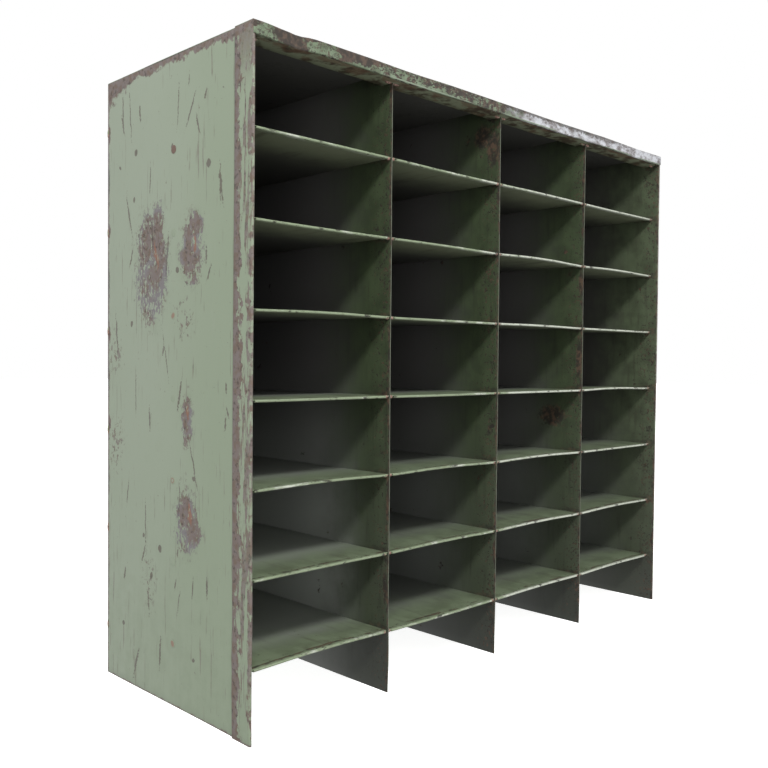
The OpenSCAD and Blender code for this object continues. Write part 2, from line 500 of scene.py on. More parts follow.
dividerShape = {
    "gauge": 1.2, "frontY": -192.0, "rearY": 206.0, "top": sheetTop, "lipZ": 980.0, "notchY": -166.8,
    "slotY": -0.2, "slotLow": -1.4, "slotHigh": 0.2,
    # divider, spot and push, mm
    "dents": [
        (0, (0, -192, 60), (1.4, 0, 0), 60),
        (0, (0, -192, 300), (0.5, 0, 0), 120),
        (0, (0, -192, 800), (-0.6, 0, 0), 90),
        (1, (0, -192, 430), (0.6, 0, 0), 90),
        (1, (0, -192, 30), (-0.9, 0, 0), 60),
        (2, (0, -192, 680), (-0.5, 0, 0), 90),
        (2, (0, -192, 40), (0.8, 0, 0), 60),
    ],
}


def buildDividerSheet(shape):
    startPlate("dividerSheet", (0, shape["frontY"], 0), (0, shape["rearY"], shape["top"]), 55)
    for top in allTops:
        cutAcross(2, top + shape["slotLow"], top + shape["slotHigh"])
    cutAcross(2, shape["lipZ"])
    cutAcross(1, shape["slotY"], shape["notchY"])
    low, high = shape["slotLow"], shape["slotHigh"]
    removeFaces(lambda p: p.y > shape["slotY"] and any(t + low < p.z < t + high for t in allTops))
    removeFaces(lambda p: p.y < shape["notchY"] and p.z > shape["lipZ"])
    tidyMesh()
    bpy.ops.object.mode_set(mode="OBJECT")
    return bpy.context.object


def addDividers(shape):
    sheet = buildDividerSheet(shape)
    made = []
    for index, place in enumerate(dividerPlaces):
        piece = duplicatePiece(sheet, "divider%d" % (index + 1))
        editPiece(piece)
        bpy.ops.transform.translate(value=(place * mm, 0, 0))
        for which, spot, push, reach in shape["dents"]:
            if which == index:
                dent((spot[0] + place, spot[1], spot[2]), push, reach)
        finishSheet(piece, shape["gauge"], 1.0)
        made.append(piece)
    bpy.data.objects.remove(sheet)
    return made


backShape = {
    "gauge": 1.0, "halfWide": 558.5, "place": 206.5, "top": sheetTop,
    "dents": [
        ((-420, 206.5, 700), (0, 0.9, 0), 160),
        ((-140, 206.5, 420), (0, -0.8, 0), 170),
        ((150, 206.5, 760), (0, 0.8, 0), 150),
        ((410, 206.5, 300), (0, -0.9, 0), 170),
        ((-380, 206.5, 180), (0, 0.6, 0), 130),
    ],
}


def addBack(shape):
    half = shape["halfWide"]
    piece = startPlate("backSheet", (-half, shape["place"], 0), (half, shape["place"], shape["top"]), 60)
    for spot, push, reach in shape["dents"]:
        dent(spot, push, reach, 20)
    finishSheet(piece, shape["gauge"])
    return piece


shelfShape = {
    "gauge": 1.2, "halfWide": 557.0, "frontY": -190.0, "rearY": 206.0,
    "hemThick": 4.0, "hemDeep": 12.0, "hemGap": 9.0, "hemEndGap": 12.0,
    "slotHalf": 0.8, "slotY": 0.2, "tabHalf": 5.0, "tabLong": 1.3,
    # least and most that a bay's front edge is bowed up, mm
    "bow": (-0.8, 3.0), "bowSeed": 4,
    "bowReach": 136.0,
}


def bayMiddles():
    edges = [-shelfShape["halfWide"]] + dividerPlaces + [shelfShape["halfWide"]]
    return list(zip(edges, edges[1:]))


def buildShelfSheet(shape):
    # one shelf with its top face at z = 0
    half, level = shape["halfWide"], -shape["gauge"] / 2
    bendY = shape["frontY"]
    turnRadius = (shape["hemThick"] - shape["gauge"]) / 2
    startPlate("shelfSheet", (-half, bendY, level), (half, shape["rearY"], level), 60)
    spans = []
    for left, right in bayMiddles():
        start = left + (shape["hemEndGap"] if left == -half else shape["hemGap"])
        end = right - (shape["hemEndGap"] if right == half else shape["hemGap"])
        spans.append((start, end))
        cutAcross(0, start, end)
    for place in dividerPlaces:
        cutAcross(0, place - shape["slotHalf"], place + shape["slotHalf"])
    cutAcross(1, shape["slotY"], -shape["tabHalf"], shape["tabHalf"])
    slotY, slotHalf = shape["slotY"], shape["slotHalf"]
    removeFaces(lambda p: p.y < slotY and any(abs(p.x - d) < slotHalf for d in dividerPlaces))
    for s in (-1, 1):
        pick("EDGE", lambda p: abs(p.x - s * half) < 0.1 and abs(p.y) < shape["tabHalf"])
        pull(x=s * shape["tabLong"])
    inHem = lambda p: abs(p.y - bendY) < 0.1 and any(a < p.x < b for a, b in spans)
    fold(inHem, (0, bendY, level - turnRadius), (-1, 0, 0), 180, 6)
    pull(y=shape["hemDeep"] - shape["hemThick"] / 2, steps=2)
    tidyMesh()
    bpy.ops.object.mode_set(mode="OBJECT")
    return bpy.context.object


def addShelves(shape):
    sheet = buildShelfSheet(shape)
    chance = random.Random(shape["bowSeed"])
    made = []
    for index, top in enumerate(allTops):
        piece = duplicatePiece(sheet, "shelf%d" % (index + 1))
        editPiece(piece)
        bpy.ops.transform.translate(value=(0, 0, top * mm))
        for left, right in bayMiddles():
            middle = (left + right) / 2
            bow = chance.uniform(*shape["bow"])
            dent((middle, shape["frontY"], top - 2), (0, 0, bow), shape["bowReach"], 26)
        finishSheet(piece, shape["gauge"], 0.8, "Z", 0.2)
        made.append(piece)
    bpy.data.objects.remove(sheet)
    return made


weldShape = {
    "tabSize": (1.0, 14.5, 13.5),       # the full lumps over the shelf tabs, before they are halved
    "tackSize": (9.0, 5.6, 5.6),
    "lipSize": (15.5, 5.6, 5.4),
    "backSize": (2.8, 2.8, 16.0),
    "tabDrop": 4.6,
    "tackY": -188.0,
    "lipY": -189.6,
}


def buildLump(name, size, shake, seed):
    leaveAll()
    bpy.ops.mesh.primitive_uv_sphere_add(segments=14, ring_count=9, radius=0.5, location=(0, 0, 0))
    piece = bpy.context.object
    piece.name = piece.data.name = name
    bpy.ops.object.mode_set(mode="EDIT")
    bpy.ops.mesh.select_all(action="SELECT")
    bpy.ops.transform.resize(value=[s * mm for s in size])
    bpy.ops.transform.vertex_random(offset=shake * mm, seed=seed)
    bpy.ops.object.mode_set(mode="OBJECT")
    smooth = piece.modifiers.new("soften", "SUBSURF")
    smooth.levels = smooth.render_levels = 1
    applyAll(piece)
    bpy.ops.object.shade_smooth()
    return piece


def scatterLumps(name, lump, spots):
    # a copy of the lump at each spot, made into one piece
    copies = []
    for number, (x, y, z, turn) in enumerate(spots):
        piece = duplicatePiece(lump, "%sPart%d" % (name, number))
        piece.location = (x * mm, y * mm, z * mm)
        piece.rotation_euler = (math.radians(turn), 0, 0)
        bpy.ops.object.transform_apply(location=True, rotation=True, scale=True)
        copies.append(piece)
    leaveAll()
    for piece in copies:
        piece.select_set(True)
    bpy.context.view_layer.objects.active = copies[0]
    bpy.ops.object.join()
    copies[0].name = copies[0].data.name = name
    return copies[0]


def addWelds(shape):
    made = {}
    tab = buildLump("tabLump", shape["tabSize"], 0.25, 3)
    tack = buildLump("tackLump", shape["tackSize"], 0.35, 5)
    lip = buildLump("lipLump", shape["lipSize"], 0.4, 7)
    rear = buildLump("rearLump", shape["backSize"], 0.2, 9)
    for side, node in ((-1, "left"), (1, "right")):
        spots = [(side * 558.6, 0, top - shape["tabDrop"], 37 * k) for k, top in enumerate(allTops)]
        made[node + "_tab_welds"] = scatterLumps(node + "TabWelds", tab, spots)
        spots = [(side * 552.2, shape["tackY"], top - 1.8, 70 * k) for k, top in enumerate(allTops)]
        made[node + "_end_tacks"] = scatterLumps(node + "EndTacks", tack, spots)
    for index, place in enumerate(dividerPlaces):
        spots = []
        for k, top in enumerate(allTops):
            spots.append((place + 5.0, shape["tackY"], top - 1.9, 50 * k + 20))
            spots.append((place - 5.0, shape["tackY"], top - 2.1, 90 * k))
        made["divider_%d_tacks" % (index + 1)] = scatterLumps("divider%dTacks" % (index + 1), tack, spots)
    spots = [(place + s * 8.2, shape["lipY"], 979.3, 60 * s) for place in dividerPlaces for s in (-1, 1)]
    spots += [(-549.5, shape["lipY"], 979.4, 15), (549.5, shape["lipY"], 979.4, 80)]
    made["lip_tacks"] = scatterLumps("lipTacks", lip, spots)
    spots = [(s * 558.6, 205.6, (n + 0.5) * tackPitch, 0) for s in (-1, 1) for n in range(6)]
    made["back_tacks"] = scatterLumps("backTacks", rear, spots)
    for lump in (tab, tack, lip, rear):
        bpy.data.objects.remove(lump)
    return made


sidePaint = {
    "coolGreen": tone(132, 142, 125), "warmGreen": tone(124, 136, 115), "deepGreen": tone(104, 116, 94),
    "paleScuff": tone(144, 152, 137), "rust": tone(98, 84, 74), "darkRust": tone(60, 53, 48),
    "wornMetal": tone(106, 97, 94), "paleMetal": tone(112, 111, 114), "orange": tone(128, 88, 70),
    # worn patches: y, rows below the top shelf, half length, half width, blots that it is made of
    "patches": [(65, 1.3, 90, 45, 6), (-50, 1.2, 55, 30, 4), (-40, 3.2, 45, 15, 2), (-40, 4.4, 55, 30, 4)],
    # how many, then least, most and usual half length, least and most half width, and lean in degrees
    "scratches": {"count": 42, "long": (5, 50, 12), "wide": (1.1, 2.8), "lean": 14},
    "knocks": {"count": 16, "long": (3, 9, 4), "wide": (3, 6), "lean": 30},
    "speckles": {"count": 4, "long": (30, 70, 50), "wide": (25, 45), "lean": 0},
    "seed": 21,
}


def layOutWear(look):
    # each mark as y, z, half length, half width and tilt in degrees from upright
    chance = random.Random(look["seed"])
    wear = {"cores": [], "flecked": [], "orange": [], "fields": []}
    for along, rows, halfLong, halfWide, blots in look["patches"]:
        middle = allTops[0] - rows * rowPitch
        for _ in range(blots):
            # overlapping blots, so that the patch's outline wanders
            place = along + chance.uniform(-0.5, 0.5) * halfWide
            height = middle + chance.uniform(-0.6, 0.6) * halfLong
            size = halfLong * chance.uniform(0.3, 0.5), halfWide * chance.uniform(0.4, 0.75)
            wear["cores"].append((place, height, *size, chance.uniform(-12, 12)))
        wear["flecked"].append((along, middle - 0.3 * halfLong, halfLong * 0.8, halfWide, 0))
        wear["fields"].append((along, middle, halfLong * 1.3, halfWide * 1.5, 0))
        wear["orange"].append((along - 0.3 * halfWide, middle, halfLong * 0.3, 4, -8))
    for kind in ("scratches", "knocks", "speckles"):
        recipe = look[kind]
        wear[kind] = []
        for _ in range(recipe["count"]):
            spot = chance.uniform(-150, 190), chance.uniform(30, 960)
            size = chance.triangular(*recipe["long"]), chance.uniform(*recipe["wide"])
            wear[kind].append((*spot, *size, chance.gauss(0, recipe["lean"])))
    wear["fields"] += wear["speckles"]
    # paint lost over the rear edge's upper welds
    wear["chips"] = [(205, (n + 0.5) * tackPitch, chance.uniform(12, 32), 6, 0) for n in range(2, 6)]
    return wear


def makeSidePaint(look, name):
    paint = Finish(name)
    wear = layOutWear(look)
    y, z = paint.y, paint.z
    # the green itself
    broad = paint.noise(260, 2)
    mottle = paint.noise(22, 4, 0.6)
    grain = paint.noise(3.2, 3, 0.6, seed=2)
    streak = paint.noise(14, 3, 0.55, (1, 1, 14), 3)
    warm = (y.rise(160, -200) * 0.7 + z.rise(900, 100) * 0.3 + (broad - 0.5) * 0.8).rise(0, 1)
    colour = paint.mix(warm, look["coolGreen"], look["warmGreen"])
    dull = ((mottle - 0.5) * 0.9 + (streak - 0.5) * 0.6 + z.rise(350, 0) * 0.25).rise(0, 0.9)
    colour = paint.mix(dull * 0.7, colour, look["deepGreen"])
    colour = paint.mix((streak * 0.6 + mottle * 0.5).rise(0.62, 0.8) * 0.3, colour, look["paleScuff"])
    # where the paint has gone down to the metal
    shaken = paint.warped(30, 6, 4)
    fine = paint.noise(7, 4, 0.65, seed=5)
    cores = paint.marks("yz", wear["cores"], shaken)
    flecked = paint.marks("yz", wear["flecked"], shaken)
    coreEdge = cores + (fine - 0.5) * 0.9
    gaps = paint.noise(5.5, 3, 0.6, (1, 1, 1.7), 7)
    lost = gaps + paint.noise(34, 2, seed=8) * 0.2 - y.rise(60, 20) * 0.03
    solid = coreEdge.rise(1.0, 0.92) * (1 - lost.rise(0.645, 0.675) * cores.rise(0.15, 0.7))
    broken = (flecked + (fine - 0.5) * 0.9).rise(1.05, 0.95) * gaps.rise(0.53, 0.49)
    inCore = solid.most(broken)
    halo = cores.least(flecked).rise(1.6, 0.95)
    field = paint.marks("yz", wear["fields"], shaken).rise(1.15, 0.3)
    speckNoise = paint.noise(7, 4, 0.72, (1, 1, 1.3), 11)
    region = field.most(halo)
    crowded = (speckNoise + field * 0.08 + halo * 0.05).rise(0.63, 0.65) * region
    specks = speckNoise.rise(0.69, 0.71).most(crowded)
    nearMarks = paint.warped(16, 1.8, 3)
    breaks = (fine - 0.5) * 1.2 + (grain - 0.5) * 2.4
    thin = (paint.marks("yz", wear["scratches"], nearMarks) + breaks).rise(1.05, 0.7)
    dots = (paint.marks("yz", wear["knocks"], nearMarks) + (fine - 0.5) * 1.1).rise(1.0, 0.8)
    hairRoom = (paint.noise(110, 2, seed=43) + z.rise(420, 150) * 0.12).rise(0.46, 0.58)
    hairs = paint.noise(5, 3, 0.6, (1, 1, 16), 41).rise(0.62, 0.66) * hairRoom
    # top band, rear corner and rear edge
    ragged = paint.noise(16, 4, 0.65, seed=13)
    topWear = (sheetTop - z - 5 - (ragged - 0.4) * 44 - y.rise(60, 205) * 10).rise(2.5, -2)
    rearGap = sideShape["rearY"] - y
    rearWear = (rearGap - 1.5 - (ragged - 0.45) * 12).rise(1.5, -1)
    corner = ((rearGap * 0.55 + (sheetTop - z)) * 0.045 + (ragged - 0.5) * 3.2).rise(2.3, 1.8)
    chips = (paint.marks("yz", wear["chips"], shaken) + (fine - 0.5) * 0.7).rise(1.0, 0.85)
    footWear = (z - 1 - (ragged - 0.42) * 12).rise(1.5, -1.5)
    # the hem down the front: worn along both edges, streaked between them
    long = paint.noise(26, 4, 0.62, (1, 1, 5), 17)
    bitten = long * 0.55 + ragged * 0.45
    hemBack = (-162.9 - y - 1.5 - (bitten - 0.365) * 105).rise(1.5, -1.5) * (y + 162.6).rise(0.6, -0.4)
    hemFront = (y + 205.8 + 0.5 - (paint.noise(24, 4, 0.65, (1, 1, 3), 19) - 0.42) * 60).rise(2, -1.5)
    hemFront = hemFront * (1 - (ragged * 0.5 + mottle * 0.5).rise(0.5, 0.56) * 0.9)
    scrapes = paint.noise(10, 5, 0.72, (1, 1, 8), 23)
    busy = (z - 330).size().rise(260, 60).most((z - 780).size().rise(130, 40) * 0.7)
    hemWear = (y + 163).rise(1, -1) * (scrapes + busy * 0.1).rise(0.55, 0.6)
    top = (z - 900).rise(0, 90) * (y + 163).rise(1, -1) * ragged.rise(0.36, 0.44)
    worn = inCore
    for layer in (topWear, corner, chips, rearWear, footWear, hemBack, hemFront):
        worn = worn.most(layer)
    for layer, share in ((hemWear, 0.9), (top, 0.8), (specks, 0.85), (thin, 0.8), (dots, 0.8), (hairs, 0.55)):
        worn = worn.most(layer * share)
    # colours of the bare metal
    cloud = paint.noise(12, 5, 0.65, seed=29)
    metal = paint.mix(cloud.rise(0.35, 0.6), look["rust"], look["wornMetal"])
    metal = paint.mix((paint.noise(7, 3, 0.6, seed=31)).rise(0.54, 0.66) * 0.7, metal, look["darkRust"])
    rimPale = coreEdge.rise(0.55, 0.85) * paint.noise(40, 2, seed=37).rise(0.42, 0.6)
    metal = paint.mix(rimPale * 0.7 * halo, metal, look["paleMetal"])
    orange = (paint.marks("yz", wear["orange"], shaken) + (fine - 0.5) * 1.4).rise(1.1, 0.6)
    metal = paint.mix(orange * 0.7, metal, look["orange"])
    metal = paint.mix(thin.most(dots) * 0.5, metal, look["darkRust"])
    colour = paint.mix(halo * mottle.rise(0.35, 0.7) * 0.25, colour, look["deepGreen"])
    colour = paint.mix(worn, colour, metal)
    roughness = paint.between(worn, 0.5, 0.72) + (grain - 0.5) * 0.12
    height = inCore * (cloud - 1.4) * 0.45 + (grain - 0.5) * 0.10 + (mottle - 0.5) * 0.25
    return paint.shade(colour, roughness, height, 0.35)


# the far panel, never seen in front: the same wear in other places
farSidePaint = {
    **sidePaint,
    "patches": [(-75, 1.8, 55, 25, 4), (60, 3.1, 35, 20, 2), (85, 4.8, 45, 25, 4)],
    "seed": 34,
}

backPaint = {
    "green": tone(138, 152, 126), "deepGreen": tone(108, 122, 96), "rust": tone(104, 84, 72),
    "darkRust": tone(62, 52, 46), "scuff": tone(156, 166, 148),
}


def makeBackPaint(look):
    # the plain sheet nobody sees: dull green, worn along its edges, scuffed and spotted
    paint = Finish("sagePaintRear")
    x, z = paint.x, paint.z
    mottle = paint.noise(70, 4, 0.6)
    fine = paint.noise(8, 4, 0.65, seed=5)
    streak = paint.noise(18, 3, 0.55, (1, 1, 12), 3)
    dull = (mottle * 0.7 + streak * 0.3).rise(0.38, 0.66) * 0.55
    colour = paint.mix(dull, look["green"], look["deepGreen"])
    colour = paint.mix(streak.rise(0.56, 0.72) * 0.35, colour, look["scuff"])
    edge = (backShape["halfWide"] - x.size()).least(sheetTop - z).least(z + 2)
    edgeWear = (edge - 2 - (paint.noise(20, 4, 0.65, seed=13) - 0.42) * 34).rise(2, -1.5)
    broken = paint.noise(26, 3, seed=15).rise(0.5, 0.58)
    seams = ((x + bayPitch * 4).wrap(bayPitch) - 1.5).rise(1.5, 0) * broken * 0.6
    blotch = (paint.noise(60, 6, 0.72, seed=9)).rise(0.665, 0.69)
    specks = paint.noise(6, 3, 0.6, seed=11).rise(0.7, 0.73)
    hairRoom = paint.noise(150, 2, seed=19).rise(0.45, 0.6)
    hairs = paint.noise(5, 2, 0.5, (1, 1, 20), 17).rise(0.7, 0.73) * hairRoom
    worn = edgeWear.most(blotch).most(specks * 0.8).most(hairs * 0.6).most(seams)
    rust = paint.mix(paint.noise(10, 4, 0.6, seed=21).rise(0.4, 0.62), look["rust"], look["darkRust"])
    colour = paint.mix(worn, colour, rust)
    height = (1 - worn) * 0.4 + (mottle - 0.5) * 0.4 + (fine - 0.5) * 0.15
    return paint.shade(colour, paint.between(worn, 0.5, 0.72), height, 0.35)


# the paint inside the cells: the outer green painted much darker, a painted shade, with real wear, spots and rust
shadedInnerPaint = {
    "green": tone(80, 90, 69), "deepGreen": tone(64, 71, 54), "grime": tone(52, 49, 42),
    "paintedHazeLow": tone(112, 115, 111), "paintedHazeHigh": tone(78, 76, 76), "paintedShadeLegs": tone(44, 46, 41),
    "rust": tone(84, 64, 52), "darkRust": tone(40, 33, 30),
    "bareEdge": tone(90, 95, 82), "pinkRust": tone(74, 64, 57),
    "lowGreen": tone(71, 76, 65), "paintedLightLeftBay": tone(164, 168, 162), "paintedLightTopLeft": tone(106, 104, 103),
    "paintedHazeFrom": -150, "paintedHazeTo": 20, "frontY": -206,
    "spots": [],
}
# the dividers: painted darker still, a painted shade, and spotted towards the front
shadedDividerPaint = {
    **shadedInnerPaint,
    "green": tone(66, 77, 55), "deepGreen": tone(54, 63, 45), "grime": tone(42, 41, 35),
    "paintedHazeLow": tone(116, 119, 115), "paintedHazeHigh": tone(92, 90, 90), "paintedShadeLegs": tone(28, 30, 27),
    "paintedHazeFrom": -150, "paintedHazeTo": 10, "frontY": -192,
    # which divider, then y, z, half length, half width, tilt
    "spots": [
        (0, (-176, 925, 40, 18, 0)), (0, (-150, 950, 26, 22, 0)),
        (bayPitch, (-184, 540, 44, 9, 0)), (bayPitch, (-120, 425, 26, 40, 0)),
        (-bayPitch, (-184, 170, 30, 7, 0)), (bayPitch, (-186, 700, 30, 6, 0)),
    ],
}


def makeInnerPaint(look, name, frontEdge):
    # frontEdge gives the bare leading edge that only the dividers have
    paint = Finish(name)
    x, y, z = paint.x, paint.y, paint.z
    mottle = paint.noise(40, 4, 0.6)
    grain = paint.noise(4, 3, 0.6, seed=2)
    colour = paint.mix(mottle.rise(0.35, 0.7), look["green"], look["deepGreen"])
    colour = paint.mix(z.rise(560, 150) * 0.6, colour, look["lowGreen"])
    runs = paint.noise(10, 3, 0.6, (1, 1, 10), 5)
    colour = paint.mix(runs.rise(0.5, 0.75) * 0.45, colour, look["grime"])
    # deeper in, the green fades into a flat grey of painted haze and light, standing in for the light that
    # reaches into the cells: palest in the low rows, lighter in the left bay
    paintedHazeAndShade = paint.mix(z.rise(560, 150), look["paintedHazeHigh"], look["paintedHazeLow"])
    paintedHazeAndShade = paint.mix(z.rise(560, 150) * x.rise(-180, -260) * x.rise(-540, -500), paintedHazeAndShade, look["paintedLightLeftBay"])
    paintedHazeAndShade = paint.mix(z.rise(858, 864) * x.rise(-180, -260), paintedHazeAndShade, look["paintedLightTopLeft"])
    inward = (y + (mottle - 0.5) * 60).rise(look["paintedHazeFrom"], look["paintedHazeTo"])
    colour = paint.mix(inward * 0.94, colour, paintedHazeAndShade)
    # painted shade: darker below the lowest shelf, among the legs
    colour = paint.mix(z.rise(101, 94) * 0.7, colour, look["paintedShadeLegs"])
    nearFront = (y - look["frontY"]).rise(92, 0)
    patchy = (paint.noise(60, 3, seed=19) - 0.5) * 0.2
    specks = paint.noise(4.6, 3, 0.62, seed=7) + nearFront * 0.12 + patchy
    specks = specks.rise(0.67, 0.7) * nearFront.most(0.15)
    blotch = (paint.noise(34, 5, 0.7, seed=9) + nearFront * 0.06).rise(0.66, 0.72)
    bitten = (paint.noise(18, 4, 0.65, (1, 1, 2), 11) - 0.46) * 34
    frontWear = (y - look["frontY"] - 1 - bitten).rise(2, -1.5)
    worn = specks.most(blotch).most(frontWear)
    fleck = paint.noise(7, 4, 0.7, seed=17)
    for place, spot in look["spots"]:
        near = paint.marks("yz", [spot]).rise(1.3, 0.5) * (x - place).size().rise(8, 4)
        worn = worn.most((fleck + near * 0.26).rise(0.6, 0.66) * near)
    # rust collects where a shelf meets the sheet
    level = (z - lowestTop + rowPitch * 20).wrap(rowPitch)
    seam = (level - 1.5 - (paint.noise(12, 4, 0.6, seed=13) - 0.45) * 16 - nearFront * 4).rise(2, -1)
    worn = worn.most(seam * 0.6 * nearFront)
    rust = paint.mix(paint.noise(9, 4, 0.6, seed=15).rise(0.36, 0.56), look["rust"], look["darkRust"])
    colour = paint.mix(worn * 0.85, colour, rust)
    if frontEdge:
        edge = y.rise(-191.2, -191.6)
        pink = paint.noise(9, 3, 0.6, (1, 1, 2), 21).rise(0.55, 0.66)
        edgeTone = paint.mix(pink, look["bareEdge"], look["pinkRust"])
        colour = paint.mix(edge, colour, edgeTone)
    roughness = paint.between(worn, 0.55, 0.78)
    height = (1 - worn) * 0.5 + (grain - 0.5) * 0.15 + (mottle - 0.5) * 0.3
    return paint.shade(colour, roughness, height, 0.3)


shelfPaint = {
    "green": tone(112, 124, 100), "deepGreen": tone(92, 102, 80), "hemGreen": tone(130, 143, 116),
    "grime": tone(70, 68, 56), "rust": tone(80, 62, 48), "darkRust": tone(38, 31, 27),
    "paintedHazeLow": tone(122, 124, 121), "paintedHazeHigh": tone(84, 82, 82), "under": tone(134, 138, 116),
    "paintedLightLeftBay": tone(160, 164, 158), "pale": tone(202, 206, 194), "bareAndHighlight": tone(154, 160, 144),
}


def makeShelfPaint(look):
    paint = Finish("sagePaintShelves")
    x, y, z = paint.x, paint.y, paint.z
    facing = paint.facingUp()
    mottle = paint.noise(46, 4, 0.6)
    grain = paint.noise(4, 3, 0.6, seed=2)
    colour = paint.mix(mottle.rise(0.35, 0.7), look["green"], look["deepGreen"])
    # faces that look down take a paler green: painted light from below
    colour = paint.mix(facing.rise(-0.2, -0.6) * 0.8, colour, look["under"])
    scrapes = paint.noise(9, 3, 0.6, (2, 12, 2), 5)
    colour = paint.mix(scrapes.rise(0.52, 0.72) * 0.5, colour, look["grime"])
    # deeper in, a flat grey of painted haze and light, palest in the low rows and in the left bay
    paintedHazeAndShade = paint.mix(z.rise(900, 120), look["paintedHazeHigh"], look["paintedHazeLow"])
    paintedHazeAndShade = paint.mix(z.rise(560, 150) * x.rise(-240, -320), paintedHazeAndShade, look["paintedLightLeftBay"])
    colour = paint.mix((y + (mottle - 0.5) * 80).rise(-160, -20) * 0.92, colour, paintedHazeAndShade)
    nearFront = y.rise(-150, -190)
    specks = paint.noise(5.4, 3, 0.62, (1.6, 1, 1), 7) + nearFront * 0.08
    specks = specks.rise(0.66, 0.7) * nearFront.most(0.2)
    blotch = (paint.noise(30, 5, 0.7, seed=9) + nearFront * 0.04).rise(0.68, 0.73)
    # a broken dark line where the paint cracked along the fold
    crack = (y + 182 + (paint.noise(30, 4, 0.65, (3, 1, 1), 25) - 0.5) * 24).size().rise(3.4, 1.4)
    crack = crack * paint.noise(34, 4, 0.65, (2, 1, 1), 27).rise(0.47, 0.52)
    worn = specks.most(blotch).most(crack * facing.rise(0, 0.4) * z.rise(740, 600).most(0.3))
    rust = paint.mix(paint.noise(9, 4, 0.6, seed=15).rise(0.4, 0.62), look["rust"], look["darkRust"])
    colour = paint.mix(worn * 0.85, colour, rust)
    # the nose of the hem: a paler green, worn to bare metal in places and barer towards the right, with a
    # near-white tone: partly real wear, partly a painted highlight
    nose = y.rise(-186.6, -188.2).most(y.rise(-181, -185) * facing.rise(-0.3, -0.7) * 0.7)
    wornAndHighlit = (paint.noise(26, 5, 0.68, (3, 1, 1), 17) + x.rise(-250, 200) * 0.24).rise(0.56, 0.66)
    colour = paint.mix(nose * 0.7, colour, look["hemGreen"])
    bareAndHighlight = paint.mix(paint.noise(8, 3, seed=19), look["bareAndHighlight"], look["pale"])
    colour = paint.mix(nose * wornAndHighlit, colour, bareAndHighlight)
    nicks = paint.noise(9, 5, 0.72, (2.2, 1, 1), 23).rise(0.56, 0.62) * y.rise(-185.5, -188.5)
    colour = paint.mix(nicks * 0.85, colour, look["darkRust"])
    roughness = paint.between(worn, 0.5, 0.75) - nose * wornAndHighlit * 0.1
    height = (1 - worn) * 0.5 + (grain - 0.5) * 0.15 + (mottle - 0.5) * 0.3
    return paint.shade(colour, roughness, height, 0.3, nose * wornAndHighlit * 0.25)


topPaint = {
    "green": tone(108, 122, 100), "deepGreen": tone(74, 84, 62), "pale": tone(118, 130, 112),
    "rust": tone(78, 64, 54), "darkRust": tone(50, 44, 38), "orange": tone(112, 82, 66),
    "steel": tone(188, 190, 195), "darkSteel": tone(112, 106, 106),
    "paintedHazeAndShade": tone(96, 94, 93), "lip": tone(136, 141, 118), "creaseZ": 981.4,
    # green left standing on the fascia: x, z, half height, half width, tilt
    "greenLeft": [(-540, 990, 9, 15, 20), (-445, 988, 9, 22, 10), (-415, 985, 6, 14, 0)],
    "bareLeft": [(-500, 990, 14, 34, 0), (-395, 991, 12, 22, 10), (-350, 994, 8, 30, 0)],
}


